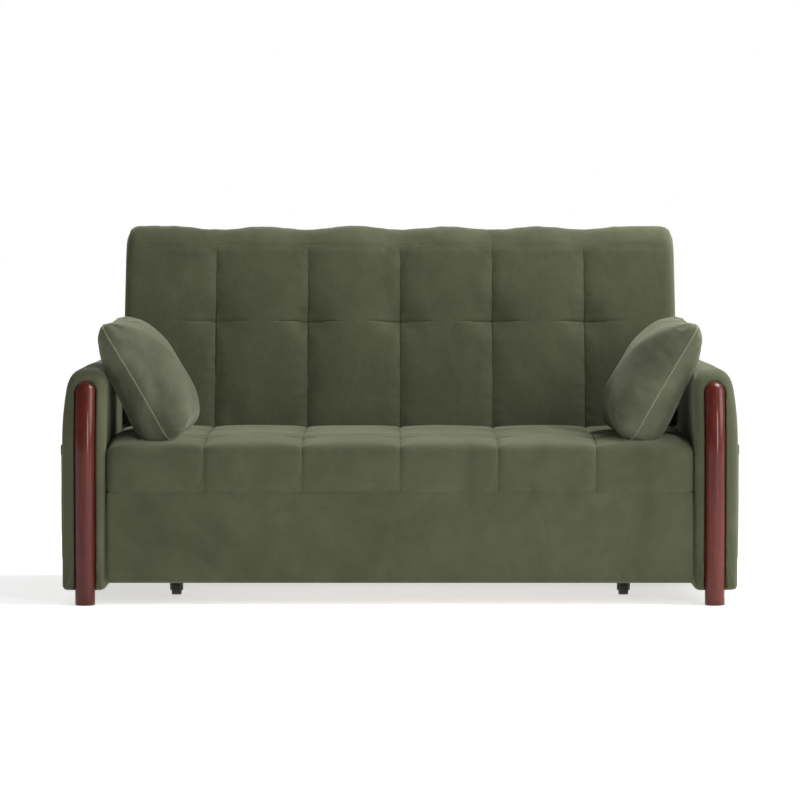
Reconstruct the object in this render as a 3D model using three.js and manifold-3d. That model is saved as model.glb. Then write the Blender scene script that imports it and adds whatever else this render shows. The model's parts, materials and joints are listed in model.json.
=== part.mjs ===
// A pull-out futon sofa bed, in millimetres. +X is the viewer's right when facing the sofa, +Y runs from
// its front to its back, +Z is up and the floor is z = 0. X = 0 and Y = 0 are the middle of its footprint.
// Two fixed arms stand on the floor, tied by a beam and a panel at the back. The seat unit rolls out of
// them towards the front on two floor wheels and two rollers in side rails. It carries the backrest on
// two hinges.
import * as THREE from "three";
import { mergeVertices } from "three/addons/utils/BufferGeometryUtils.js";
import Module from "manifold-3d";

const wasm = await Module();
wasm.setup();

// ---- driving dimensions ----
const GAP = 0.3; // between pieces that touch
const WIDTH = 1680;
const DEPTH = 830;
const HEIGHT = 929;
const SEAT_TOP = 406;
const SEAT_DEPTH = 550; // from the seat's front to the backrest's face, at seat height
const RECLINE = THREE.MathUtils.degToRad(10); // of the backrest's face from upright

// ---- arms ----
const POCKET_BULGE = 11; // how far a side pocket stands out from its arm
const ARM_OUTER = WIDTH / 2 - POCKET_BULGE;
const ARM_THICKNESS = 107;
const ARM_INNER = ARM_OUTER - ARM_THICKNESS;
const ARM_BOTTOM = 35;
const ARM_TOP = 578;
const ARM_SETBACK = 20; // of the arms' fronts behind the fronts of the posts
const ARM_FRONT = -DEPTH / 2 + ARM_SETBACK;
const ARM_BACK = DEPTH / 2;
const ARM_CORNER = 12; // radius along the arm's lower edges
const ARM_REAR_CORNER = 40; // radius where the top turns down at the back
const LEAN_START = 370; // height at which an arm's front starts to curve back
const LEAN_END = 540;
const LEAN = 35; // how far back the front has curved at LEAN_END
const SHOULDER = 548; // height at which the front turns over into the top
const SHOULDER_BEND = 48;
const SHOULDER_END = 85;
const ARM_CAVITY = { front: -300, back: 400, inner: ARM_INNER + 6, outer: ARM_INNER + 68, top: 530 };

// The arch of an arm seen from the front: how far in from the outer face, and the height, of the points
// of its curves. The last curve is measured from the inner face.
const ARCH_START = 390;
const ARCH_OUTER = [
  [0, 450, 4, 500, 9, 530],
  [15, 562, 30, ARM_TOP, 58, ARM_TOP],
];
const ARCH_INNER = [20, ARM_TOP, 0, 566, 0, 535];
const ARM_BOARD = 18; // thickness of the plywood side in an arm
const BASE_BOARD = { bottom: ARM_BOTTOM + 1, top: ARM_BOTTOM + 13 };
const REAR_FOOT = { top: 20, bottom: 16, y: 365, height: ARM_BOTTOM + 0.7 };

// ---- wooden posts, which are the front legs ----
const POST_RADIUS = 24.5;
const POST_X = 772;
const POST_Y = -DEPTH / 2 + POST_RADIUS;
const POST_TOP = 547;
const POST_STEP = 120; // between the points of a post's upright part
const POST_CURVE_STEPS = 8;

// ---- seat unit ----
const SEAT_FRONT = -DEPTH / 2 + 30;
const SEAT_HALF_WIDTH = ARM_INNER - 3;
const CUSHION_BOTTOM = 278;
const CUSHION_EDGE = { front: 26, low: 8, rear: 16, end: 7 }; // radii of the cushion's edges
const CUSHION_SLOPE = { low: 27, high: 5 }; // clearance in front of the backrest, below and above
const PANEL_BOTTOM = 53;
const PANEL_PAD = 15; // thickness of the padding on the front panel
const PANEL_BOARD = 12;
const PANEL_INSET = { side: 15, bottom: 7 }; // of the board behind the padding
const TUBE = 36; // height of the seat frame's steel tubes
const TUBE_WIDTH = 30;
const WALL = 2; // wall of every steel tube
const SLAT = { width: 70, thickness: 13, count: 5, pitch: 260 };
const FRAME_TOP = CUSHION_BOTTOM - GAP - SLAT.thickness - 0.7;
const FRAME_BOTTOM = FRAME_TOP - TUBE;
const SIDE_TUBE_OUTER = 684;
const SIDE_TUBE_BACK = 225;
const REAR_TUBE_FRONT = 100;
const WHEEL = { radius: 25, width: 24, x: 563, y: -135, bore: 4.5, edge: 4 };
const WHEEL_AXLE = 4;
const FORK = { wall: 3, cheek: 13, shoulder: 6, gap: 1 };
const LEG_HALF = 15; // half the side of the square tube above a wheel

// ---- guide rails and their rollers ----
const ROLLER = { radius: 17, y: 213, inner: 700, outer: 711, axle: 5, bore: 5.5 };
const ROLLER_Z = (FRAME_TOP + FRAME_BOTTOM) / 2;
const RAIL = { inner: 698, outer: ARM_INNER - GAP, front: -345, back: 360, wall: 2.7 };
const RAIL_CLEAR = ROLLER.radius + GAP;
const BOLT_Y = [-220, 250];
const BOLT = { shaft: 3, head: 7, headHeight: 2.2, reach: 14 };
const REAR_BEAM = { front: 370, back: 400, bottom: 60, top: 110 };
const REAR_PANEL = { bottom: 52, top: 252, corner: 6, edge: 3 }; // it ends below the flat backrest

// ---- hinges and backrest, the backrest in its own frame: origin on the hinge axis, +Z up its face ----
const HINGE_Z = 325;
const FACE_Y = HINGE_Z - SEAT_TOP; // the face is level with the seat when the backrest lies flat
const SEAT_BACK_Y = SEAT_FRONT + SEAT_DEPTH;
const HINGE_Y = SEAT_BACK_Y + (-FACE_Y + FACE_Y * Math.sin(RECLINE)) / Math.cos(RECLINE);
const BACK_THICKNESS = 132;
const REAR_Y = FACE_Y + BACK_THICKNESS;
const BACK_BOTTOM = -45;
const BACK_HIGH_Y = 40; // where the reclined backrest's top is highest
const BACK_TOP = (HEIGHT - HINGE_Z - BACK_HIGH_Y * Math.sin(RECLINE)) / Math.cos(RECLINE);
const BACK_EDGE = { low: 25, front: 48, rear: 40, end: 14 }; // radii of the backrest's edges
const HINGE_NOTCH = { x: 676, top: 60 }; // the backrest's lower corners are cut away for the hinges
const BACK_CAVITY = { half: 686, front: -5, bottom: 20, top: 560 };
const REAR_COVER = { front: REAR_Y - 10, back: REAR_Y - 2 };
const BACK_FRAME = { front: -4, back: 26, bottom: 55, top: 555, lowerTube: 60 };
const BACK_SLAT = { count: 3, bottom: 170, pitch: 115, height: 60, thickness: 12 };
const PLATE = 4; // thickness of the hinge leaves
const EYE = 22; // radius of a leaf round its pin
const LOWER_LEAF = { front: 40, bend: 190, shoulder: 168, high: FRAME_TOP - 2, low: FRAME_BOTTOM + 4 };
const UPPER_LEAF = { bend: 40, shoulder: 50, top: 200 };
const LOWER_LEAF_X = SIDE_TUBE_OUTER + GAP;
const UPPER_LEAF_X = SIDE_TUBE_OUTER - PLATE;
const PIN = { radius: 6, head: 10, headHeight: 3, proud: 2 };

// ---- loose pillows ----
const PILLOW = { x: 634, y: -180, z: 555.5, tilt: THREE.MathUtils.degToRad(31), turn: 0.08 };
const PILLOW_SIZE = { length: 332, width: 340, armSide: 72, openSide: 106, pull: 0.05 };

// ---- materials ----
const finish = (color, roughness, metalness = 0) =>
  new THREE.MeshStandardMaterial({ color, roughness, metalness });
const VELVET = finish(0x5c5e48, 0.85);
const POST_WOOD = finish(0x5e2a22, 0.35);
const PINE = finish(0xc29a66, 0.7);
const PLYWOOD = finish(0xb58a5a, 0.75);
const STEEL = finish(0x2c2d2e, 0.5, 0.8);
const ZINC = finish(0x9aa0a3, 0.35, 0.9);
const BLACK_PLASTIC = finish(0x1d1d1d, 0.55);

// ---- solids ----
function solidOf(geometry) {
  const bare = geometry.index ? geometry.toNonIndexed() : geometry.clone();
  bare.deleteAttribute("normal");
  bare.deleteAttribute("uv");
  const merged = mergeVertices(bare, 1e-4);
  return new wasm.Manifold(
    new wasm.Mesh({
      numProp: 3,
      vertProperties: merged.attributes.position.array,
      triVerts: new Uint32Array(merged.index.array),
    }),
  );
}

function geometryOf(solid) {
  const { vertProperties, triVerts } = solid.getMesh();
  const geometry = new THREE.BufferGeometry();
  geometry.setAttribute("position", new THREE.BufferAttribute(vertProperties, 3));
  geometry.setIndex(new THREE.BufferAttribute(triVerts, 1));
  return geometry;
}

const cut = (geometry, ...tools) =>
  geometryOf(tools.reduce((solid, tool) => solid.subtract(solidOf(tool)), solidOf(geometry)));
const join = (geometry, ...others) =>
  geometryOf(others.reduce((solid, other) => solid.add(solidOf(other)), solidOf(geometry)));
const overlapOf = (a, b) => geometryOf(solidOf(a).intersect(solidOf(b)));

const axes = (x, y, z) =>
  new THREE.Matrix4().makeBasis(new THREE.Vector3(...x), new THREE.Vector3(...y), new THREE.Vector3(...z));
const ALONG_X = axes([0, 1, 0], [0, 0, 1], [1, 0, 0]); // a shape drawn in (y, z)
const ALONG_Y = axes([1, 0, 0], [0, 0, 1], [0, -1, 0]); // a shape drawn in (x, z)

function prism(shape, along, from, to, bevel = 0) {
  const geometry = new THREE.ExtrudeGeometry(shape, {
    depth: to - from - 2 * bevel,
    curveSegments: 5,
    bevelEnabled: bevel > 0,
    bevelThickness: bevel,
    bevelSize: bevel,
    bevelOffset: -bevel,
    bevelSegments: 3,
  });
  geometry.translate(0, 0, bevel).applyMatrix4(along);
  return along === ALONG_X ? geometry.translate(from, 0, 0) : geometry.translate(0, to, 0);
}

function box(x0, x1, y0, y1, z0, z1) {
  return new THREE.BoxGeometry(x1 - x0, y1 - y0, z1 - z0).translate(
    (x0 + x1) / 2,
    (y0 + y1) / 2,
    (z0 + z1) / 2,
  );
}

// A cylinder whose axis runs along X.
function barX(radius, x0, x1, y, z, sides = 24) {
  return new THREE.CylinderGeometry(radius, radius, x1 - x0, sides)
    .rotateZ(Math.PI / 2)
    .translate((x0 + x1) / 2, y, z);
}

const polygon = (...points) => new THREE.Shape(points.map(([a, b]) => new THREE.Vector2(a, b)));

function rectangle(a0, a1, b0, b1) {
  return polygon([a0, b0], [a1, b0], [a1, b1], [a0, b1]);
}

function rounded(a0, a1, b0, b1, r) {
  const shape = new THREE.Shape();
  shape.moveTo(a0 + r, b0);
  shape.absarc(a1 - r, b0 + r, r, -Math.PI / 2, 0);
  shape.absarc(a1 - r, b1 - r, r, 0, Math.PI / 2);
  shape.absarc(a0 + r, b1 - r, r, Math.PI / 2, Math.PI);
  shape.absarc(a0 + r, b0 + r, r, Math.PI, 1.5 * Math.PI);
  return shape;
}

function tubeShape(a0, a1, b0, b1) {
  const shape = rectangle(a0, a1, b0, b1);
  shape.holes.push(rectangle(a0 + WALL, a1 - WALL, b0 + WALL, b1 - WALL));
  return shape;
}

const crossTube = (half, y0, y1, z0, z1) => prism(tubeShape(y0, y1, z0, z1), ALONG_X, -half, half);

// ---- assembly ----
const sofa = new THREE.Group();

function add(name, geometry, material, parent = sofa) {
  const mesh = new THREE.Mesh(geometry, material);
  mesh.name = name;
  parent.add(mesh);
}

// Adds NAME_r as drawn, at +X, and NAME_l as its mirror image.
function addPair(name, geometry, material, parent = sofa) {
  add(`${name}_r`, geometry, material, parent);
  const mirror = new THREE.Group();
  mirror.scale.x = -1;
  parent.add(mirror);
  add(`${name}_l`, geometry, material, mirror);
}

// How far an arm's front lies behind ARM_FRONT at height z. The post follows the same curve.
function leanAt(z) {
  const share = Math.max(0, (z - LEAN_START) / (LEAN_END - LEAN_START));
  return LEAN * share * share;
}

function armFrontShape() {
  const [inner, outer, low, r] = [ARM_INNER, ARM_OUTER, ARM_BOTTOM, ARM_CORNER];
  const shape = new THREE.Shape();
  shape.moveTo(inner + r, low);
  shape.absarc(outer - r, low + r, r, -Math.PI / 2, 0);
  shape.lineTo(outer, ARCH_START);
  for (const [a, za, b, zb, c, zc] of ARCH_OUTER) {
    shape.bezierCurveTo(outer - a, za, outer - b, zb, outer - c, zc);
  }
  const [a, za, b, zb, c, zc] = ARCH_INNER;
  shape.bezierCurveTo(inner + a, za, inner + b, zb, inner + c, zc);
  shape.absarc(inner + r, low + r, r, Math.PI, 1.5 * Math.PI);
  return shape;
}

function armSideShape() {
  const shape = new THREE.Shape();
  const r = ARM_CORNER;
  const rear = ARM_REAR_CORNER;
  shape.moveTo(ARM_BACK - r, ARM_BOTTOM);
  shape.absarc(ARM_BACK - r, ARM_BOTTOM + r, r, -Math.PI / 2, 0);
  shape.absarc(ARM_BACK - rear, ARM_TOP - rear, rear, 0, Math.PI / 2);
  shape.lineTo(ARM_FRONT + SHOULDER_END, ARM_TOP);
  shape.quadraticCurveTo(ARM_FRONT + SHOULDER_BEND, ARM_TOP, ARM_FRONT + leanAt(SHOULDER), SHOULDER);
  for (let z = LEAN_END - 10; z > LEAN_START; z -= 30) {
    shape.lineTo(ARM_FRONT + leanAt(z), z);
  }
  shape.absarc(ARM_FRONT + r, ARM_BOTTOM + r, r, Math.PI, 1.5 * Math.PI);
  return shape;
}

function postSolid(radius, bottom) {
  const points = [];
  for (let z = bottom; z < LEAN_START; z += POST_STEP) {
    points.push(new THREE.Vector3(POST_X, POST_Y, z));
  }
  const end = POST_TOP - POST_RADIUS;
  for (let i = 0; i <= POST_CURVE_STEPS; i++) {
    const z = LEAN_START + ((end - LEAN_START) * i) / POST_CURVE_STEPS;
    points.push(new THREE.Vector3(POST_X, POST_Y + leanAt(z), z));
  }
  const bar = new THREE.ExtrudeGeometry(
    new THREE.Shape().absarc(0, 0, radius, 0, 2 * Math.PI),
    { curveSegments: 10, steps: 16, extrudePath: new THREE.CatmullRomCurve3(points) },
  );
  const cap = new THREE.SphereGeometry(radius, 20, 10).translate(POST_X, POST_Y + leanAt(end), end);
  return join(bar, cap);
}

function addArms() {
  const { front, back, inner, outer, top } = ARM_CAVITY;
  const panelOuter = inner + ARM_BOARD;
  const holeEnds = [RAIL.outer - 5, panelOuter + 2];
  const boltHoles = BOLT_Y.map((y) => barX(BOLT.shaft + GAP, ...holeEnds, y, ROLLER_Z, 12));
  const body = overlapOf(
    prism(armFrontShape(), ALONG_Y, ARM_FRONT, ARM_BACK),
    prism(armSideShape(), ALONG_X, ARM_INNER - 1, ARM_OUTER + 1),
  );
  const cavity = box(inner, outer, front, back, ARM_BOTTOM - 1, top);
  addPair("arm_cover", cut(body, cavity, postSolid(POST_RADIUS + GAP, -1), ...boltHoles), VELVET);
  addPair(
    "arm_panel",
    cut(box(inner + GAP, panelOuter, front + GAP, back - GAP, ARM_BOTTOM + 2, top - GAP), ...boltHoles),
    PLYWOOD,
  );
  addPair(
    "arm_base_board",
    box(
      panelOuter + GAP,
      outer - GAP,
      front + GAP,
      back - GAP,
      BASE_BOARD.bottom,
      BASE_BOARD.top,
    ),
    PLYWOOD,
  );
  addPair("arm_post", postSolid(POST_RADIUS, 0), POST_WOOD);
  addPair("side_pocket", pocketSolid(), VELVET);
  const { height, y } = REAR_FOOT;
  const foot = new THREE.CylinderGeometry(REAR_FOOT.top, REAR_FOOT.bottom, height, 20);
  foot.rotateX(Math.PI / 2).translate((panelOuter + outer) / 2, y, height / 2);
  addPair("rear_foot", foot, BLACK_PLASTIC);
}

const POCKET = { front: -355, back: -55, bottom: 98, top: 388, hem: 3 };

// A pouch sewn to the arm's outer face along three sides and open at the top.
function pocketSolid() {
  const { front, back, bottom, top, hem } = POCKET;
  const outside = box(ARM_OUTER + GAP, WIDTH / 2, front, back, bottom, top);
  const inside = box(ARM_OUTER, WIDTH / 2 - hem, front + hem, back - hem, bottom + hem, top + 1);
  return cut(outside, inside);
}

function addBase() {
  const { inner, outer, front, back, wall } = RAIL;
  const channel = cut(
    box(inner, outer, front, back, ROLLER_Z - RAIL_CLEAR - wall, ROLLER_Z + RAIL_CLEAR + wall),
    box(inner - 1, outer - wall, front - 1, back + 1, ROLLER_Z - RAIL_CLEAR, ROLLER_Z + RAIL_CLEAR),
    ...BOLT_Y.map((y) => barX(BOLT.shaft + GAP, inner, outer + 1, y, ROLLER_Z, 12)),
  );
  addPair("guide_rail", channel, STEEL);
  BOLT_Y.forEach((y, i) => {
    const headEnd = outer - wall - GAP;
    const bolt = join(
      barX(BOLT.head, headEnd - BOLT.headHeight, headEnd, y, ROLLER_Z, 16),
      barX(BOLT.shaft, headEnd - 1, ARM_CAVITY.inner + BOLT.reach, y, ROLLER_Z, 12),
    );
    addPair(`rail_bolt_${i + 1}`, bolt, ZINC);
  });
  const half = ARM_INNER - GAP;
  const beam = REAR_BEAM;
  add("rear_beam", crossTube(half, beam.front, beam.back, beam.bottom, beam.top), STEEL);
  const panel = rounded(-half, half, REAR_PANEL.bottom, REAR_PANEL.top, REAR_PANEL.corner);
  add(
    "rear_panel",
    prism(panel, ALONG_Y, beam.back + GAP, ARM_BACK - 2, REAR_PANEL.edge),
    VELVET,
  );
}

function seatCushionShape() {
  const shape = new THREE.Shape();
  const [front, low, high] = [SEAT_FRONT, CUSHION_BOTTOM, SEAT_TOP];
  const { front: r, low: small, rear } = CUSHION_EDGE;
  const backLow = SEAT_BACK_Y - CUSHION_SLOPE.low;
  const backHigh = SEAT_BACK_Y - CUSHION_SLOPE.high;
  shape.moveTo(front + small, low);
  shape.lineTo(backLow - small, low);
  shape.quadraticCurveTo(backLow, low, backLow + 1.5, low + small);
  shape.lineTo(backHigh - 3, high - rear);
  shape.quadraticCurveTo(backHigh, high, backHigh - rear, high);
  shape.absarc(front + r, high - r, r, Math.PI / 2, Math.PI);
  shape.absarc(front + small, low + small, small, Math.PI, 1.5 * Math.PI);
  return shape;
}

function addSeat() {
  const half = SEAT_HALF_WIDTH;
  add("seat_cushion", prism(seatCushionShape(), ALONG_X, -half, half, CUSHION_EDGE.end), VELVET);
  const padBack = SEAT_FRONT + PANEL_PAD;
  const pad = rounded(-half, half, PANEL_BOTTOM, CUSHION_BOTTOM - 1, 8);
  add("front_panel_cover", prism(pad, ALONG_Y, SEAT_FRONT, padBack, 5), VELVET);
  const boardBack = padBack + PANEL_BOARD;
  const boardHalf = half - PANEL_INSET.side;
  const boardLow = PANEL_BOTTOM + PANEL_INSET.bottom;
  add(
    "front_panel_board",
    box(-boardHalf, boardHalf, padBack + GAP, boardBack, boardLow, FRAME_TOP),
    PLYWOOD,
  );
  const frameFront = boardBack + GAP;
  const [low, high] = [FRAME_BOTTOM, FRAME_TOP];
  const sideTubeInner = SIDE_TUBE_OUTER - TUBE_WIDTH;
  const section = tubeShape(sideTubeInner, SIDE_TUBE_OUTER, low, high);
  const sideTube = prism(section, ALONG_Y, frameFront, SIDE_TUBE_BACK);
  const holeEnds = [sideTubeInner - 1, SIDE_TUBE_OUTER + 1];
  const axleHole = barX(ROLLER.axle + GAP, ...holeEnds, ROLLER.y, ROLLER_Z, 16);
  addPair("seat_side_tube", cut(sideTube, axleHole), STEEL);
  const crossHalf = sideTubeInner - GAP;
  const middle = WHEEL.y - TUBE_WIDTH / 2;
  const crossTubes = { front: frameFront, middle, rear: REAR_TUBE_FRONT };
  for (const [name, y] of Object.entries(crossTubes)) {
    add(`seat_${name}_tube`, crossTube(crossHalf, y, y + TUBE_WIDTH, low, high), STEEL);
  }
  const slatBack = crossTubes.rear + TUBE_WIDTH;
  for (let i = 0; i < SLAT.count; i++) {
    const x = (i - (SLAT.count - 1) / 2) * SLAT.pitch;
    const [x0, x1] = [x - SLAT.width / 2, x + SLAT.width / 2];
    const z0 = FRAME_TOP + GAP;
    add(`seat_slat_${i + 1}`, box(x0, x1, frameFront, slatBack, z0, z0 + SLAT.thickness), PINE);
  }
  addWheels();
  addRollers(sideTubeInner);
}

function addWheels() {
  const { radius, width, x, y, bore, edge } = WHEEL;
  const inside = width / 2 + FORK.gap;
  const outside = inside + FORK.wall;
  const forkTop = 2 * radius + FORK.gap;
  const crown = forkTop + FORK.wall;
  const fork = new THREE.Shape();
  fork.moveTo(y - LEG_HALF, crown);
  fork.lineTo(y - LEG_HALF, radius + FORK.shoulder);
  fork.absarc(y, radius, FORK.cheek, Math.PI, 2 * Math.PI);
  fork.lineTo(y + LEG_HALF, radius + FORK.shoulder);
  fork.lineTo(y + LEG_HALF, crown);
  const leg = tubeShape(x - LEG_HALF, x + LEG_HALF, y - LEG_HALF, y + LEG_HALF);
  const legTube = new THREE.ExtrudeGeometry(leg, {
    depth: FRAME_BOTTOM - GAP - crown + 1,
    bevelEnabled: false,
  }).translate(0, 0, crown - 1);
  const forkBody = cut(
    prism(fork, ALONG_X, x - outside, x + outside),
    box(x - inside, x + inside, y - 30, y + 30, 0, forkTop),
    barX(WHEEL_AXLE + GAP, x - outside - 1, x + outside + 1, y, radius, 16),
  );
  addPair("wheel_leg", join(forkBody, legTube), STEEL);
  addPair("wheel_axle", barX(WHEEL_AXLE, x - outside, x + outside, y, radius, 16), ZINC);
  const tread = new THREE.LatheGeometry(
    [
      [bore, -width / 2],
      [radius - edge, -width / 2],
      [radius, -width / 2 + edge],
      [radius, width / 2 - edge],
      [radius - edge, width / 2],
      [bore, width / 2],
      [bore, -width / 2],
    ].map(([r, h]) => new THREE.Vector2(r, h)),
    36,
  );
  addPair("front_wheel", tread.rotateZ(-Math.PI / 2).translate(x, y, radius), BLACK_PLASTIC);
}

function addRollers(sideTubeInner) {
  const { radius, y, inner, outer, axle, bore } = ROLLER;
  addPair("roller_axle", barX(axle, sideTubeInner, outer + 1, y, ROLLER_Z, 16), ZINC);
  const disc = barX(radius, inner, outer, y, ROLLER_Z, 32);
  const hole = barX(bore, inner - 1, outer + 1, y, ROLLER_Z, 16);
  addPair("guide_roller", cut(disc, hole), BLACK_PLASTIC);
}

function addHinges(backrest) {
  const leaf = LOWER_LEAF;
  const lower = new THREE.Shape();
  lower.moveTo(leaf.front, leaf.low);
  lower.lineTo(leaf.bend, leaf.low);
  lower.lineTo(HINGE_Y + EYE * 0.8, HINGE_Z - EYE * 0.6);
  lower.absarc(HINGE_Y, HINGE_Z, EYE, -0.6, 0.85 * Math.PI);
  lower.lineTo(leaf.shoulder, leaf.high);
  lower.lineTo(leaf.front, leaf.high);
  const boreRadius = PIN.radius + 2 * GAP;
  const bore = (x) => barX(boreRadius, x - 1, x + PLATE + 1, HINGE_Y, HINGE_Z);
  addPair(
    "hinge_lower_leaf",
    cut(prism(lower, ALONG_X, LOWER_LEAF_X, LOWER_LEAF_X + PLATE), bore(LOWER_LEAF_X)),
    ZINC,
  );
  const pinEnds = [UPPER_LEAF_X - GAP, LOWER_LEAF_X + PLATE + GAP];
  addPair(
    "hinge_pin",
    join(
      barX(PIN.radius, pinEnds[0] - PIN.proud, pinEnds[1] + PIN.proud, HINGE_Y, HINGE_Z),
      barX(PIN.head, pinEnds[0] - PIN.headHeight, pinEnds[0], HINGE_Y, HINGE_Z),
      barX(PIN.head, pinEnds[1], pinEnds[1] + PIN.headHeight, HINGE_Y, HINGE_Z),
    ),
    ZINC,
  );
  const upper = new THREE.Shape();
  upper.moveTo(EYE, 0);
  upper.lineTo(BACK_FRAME.back, UPPER_LEAF.bend);
  upper.lineTo(BACK_FRAME.back, UPPER_LEAF.top);
  upper.lineTo(BACK_FRAME.front, UPPER_LEAF.top);
  upper.lineTo(BACK_FRAME.front, UPPER_LEAF.shoulder);
  upper.absarc(0, 0, EYE, 0.8 * Math.PI, 2 * Math.PI);
  const upperBore = barX(boreRadius, UPPER_LEAF_X - 1, UPPER_LEAF_X + PLATE + 1, 0, 0);
  addPair(
    "hinge_upper_leaf",
    cut(prism(upper, ALONG_X, UPPER_LEAF_X, UPPER_LEAF_X + PLATE - GAP), upperBore),
    ZINC,
    backrest,
  );
}

function backCushionShape() {
  const { low: r, front, rear } = BACK_EDGE;
  const shape = new THREE.Shape();
  shape.moveTo(FACE_Y + r, BACK_BOTTOM);
  shape.absarc(REAR_Y - r, BACK_BOTTOM + r, r, -Math.PI / 2, 0);
  shape.absarc(REAR_Y - rear, BACK_TOP - rear - 6, rear, 0, Math.PI / 2);
  shape.absarc(FACE_Y + front, BACK_TOP - front, front, Math.PI / 2, Math.PI);
  shape.absarc(FACE_Y + r, BACK_BOTTOM + r, r, Math.PI, 1.5 * Math.PI);
  return shape;
}

function addBackrest() {
  const backrest = new THREE.Group();
  backrest.position.set(0, HINGE_Y, HINGE_Z);
  backrest.rotation.x = -RECLINE;
  sofa.add(backrest);
  const half = SEAT_HALF_WIDTH;
  const { half: cavityHalf, front, bottom, top } = BACK_CAVITY;
  const notchEnds = [FACE_Y - 40, REAR_Y + 30, BACK_BOTTOM - 35, HINGE_NOTCH.top];
  const notch = (side) =>
    box(...[side * HINGE_NOTCH.x, side * (half + 5)].sort((a, b) => a - b), ...notchEnds);
  add(
    "back_cushion",
    cut(
      prism(backCushionShape(), ALONG_X, -half, half, BACK_EDGE.end),
      box(-cavityHalf, cavityHalf, front, REAR_Y + 5, bottom, top),
      notch(1),
      notch(-1),
    ),
    VELVET,
    backrest,
  );
  const edge = GAP + 1;
  const coverHalf = HINGE_NOTCH.x - 1;
  const { front: coverFront, back: coverBack } = REAR_COVER;
  add(
    "back_rear_panel",
    box(-coverHalf, coverHalf, coverFront, coverBack, bottom + edge, top - edge),
    VELVET,
    backrest,
  );
  const { front: y0, back: y1 } = BACK_FRAME;
  const stileOuter = UPPER_LEAF_X - GAP;
  const stileInner = stileOuter - TUBE_WIDTH;
  const stile = new THREE.ExtrudeGeometry(tubeShape(stileInner, stileOuter, y0, y1), {
    depth: BACK_FRAME.top - BACK_FRAME.bottom,
    bevelEnabled: false,
  }).translate(0, 0, BACK_FRAME.bottom);
  addPair("back_stile", stile, STEEL, backrest);
  const railHalf = stileInner - GAP;
  const rails = { lower: BACK_FRAME.lowerTube, upper: BACK_FRAME.top - TUBE_WIDTH };
  for (const [name, z] of Object.entries(rails)) {
    add(`back_${name}_tube`, crossTube(railHalf, y0, y1, z, z + TUBE_WIDTH), STEEL, backrest);
  }
  const { count, bottom: firstSlat, pitch, height, thickness } = BACK_SLAT;
  for (let i = 0; i < count; i++) {
    const z = firstSlat + i * pitch;
    const slat = box(-railHalf, railHalf, y0, y0 + thickness, z, z + height);
    add(`back_slat_${i + 1}`, slat, PINE, backrest);
  }
  addHinges(backrest);
}

// A stuffed square whose two faces meet in a seam, with its sides pulled in between its corners.
function pillowGeometry() {
  const { length, width, armSide, openSide, pull } = PILLOW_SIZE;
  const n = 10;
  const positions = [];
  const point = (i, j, thickness) => {
    const u = (2 * i) / n - 1;
    const v = (2 * j) / n - 1;
    const crown = Math.pow((1 - u * u) * (1 - v * v), 0.45);
    return [
      thickness * crown,
      (v * (1 - pull * (1 - u * u)) * width) / 2,
      (u * (1 - pull * (1 - v * v)) * length) / 2,
    ];
  };
  for (const thickness of [openSide, -armSide])
    for (let i = 0; i < n; i++)
      for (let j = 0; j < n; j++) {
        const [a, b, c, d] = [[i, j], [i + 1, j], [i + 1, j + 1], [i, j + 1]].map(([p, q]) =>
          point(p, q, thickness),
        );
        const faces = thickness > 0 ? [a, c, b, a, d, c] : [a, b, c, a, c, d];
        faces.forEach((corner) => positions.push(...corner));
      }
  return new THREE.BufferGeometry().setAttribute(
    "position",
    new THREE.Float32BufferAttribute(positions, 3),
  );
}

function addPillows() {
  for (const [name, side] of [["pillow_r", 1], ["pillow_l", -1]]) {
    const group = new THREE.Group();
    group.position.set(side * PILLOW.x, PILLOW.y, PILLOW.z);
    group.rotation.set(0, side * PILLOW.tilt, side * PILLOW.turn);
    group.scale.x = -side;
    sofa.add(group);
    add(name, pillowGeometry(), VELVET, group);
  }
}

addArms();
addBase();
addSeat();
addBackrest();
addPillows();

export default sofa;
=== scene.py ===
import bpy
import bmesh
import json
import math
import numpy as np
from mathutils import Matrix, Vector


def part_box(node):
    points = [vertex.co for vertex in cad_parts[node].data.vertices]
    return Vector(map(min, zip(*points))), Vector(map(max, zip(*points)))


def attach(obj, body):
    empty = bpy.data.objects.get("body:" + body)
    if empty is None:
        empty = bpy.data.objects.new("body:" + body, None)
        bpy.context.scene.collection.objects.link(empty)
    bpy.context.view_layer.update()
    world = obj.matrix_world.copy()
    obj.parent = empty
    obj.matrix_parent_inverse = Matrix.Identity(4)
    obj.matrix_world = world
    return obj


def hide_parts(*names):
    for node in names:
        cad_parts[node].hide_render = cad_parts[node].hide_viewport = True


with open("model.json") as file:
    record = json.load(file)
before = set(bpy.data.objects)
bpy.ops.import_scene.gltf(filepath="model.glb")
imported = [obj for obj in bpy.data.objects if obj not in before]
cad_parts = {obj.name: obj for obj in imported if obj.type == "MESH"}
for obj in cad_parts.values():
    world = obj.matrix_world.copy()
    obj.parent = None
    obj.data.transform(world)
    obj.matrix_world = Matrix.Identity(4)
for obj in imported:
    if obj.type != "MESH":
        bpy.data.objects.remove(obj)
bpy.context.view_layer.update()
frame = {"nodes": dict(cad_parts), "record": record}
nodes = frame["nodes"]
joints = {j["name"]: j for j in frame["record"]["behaviour"]["joints"]}
scene = bpy.context.scene

# ---- camera: level with the top of the backrest, in the middle ----
SENSOR = 36.0  # millimetres, as the lens
LENS = 165.645
CAMERA_Y = -9.385
CAMERA_HEIGHT = 0.92
LOOK_DOWN = math.radians(2.652)
camera = bpy.data.objects.new("camera", bpy.data.cameras.new("camera"))
scene.collection.objects.link(camera)
scene.camera = camera
camera.data.sensor_width = SENSOR
camera.data.lens = LENS
camera.location = (0, CAMERA_Y, CAMERA_HEIGHT)
camera.rotation_euler = (math.pi / 2 - LOOK_DOWN, 0, 0)
camera.data.clip_end = 300


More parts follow.
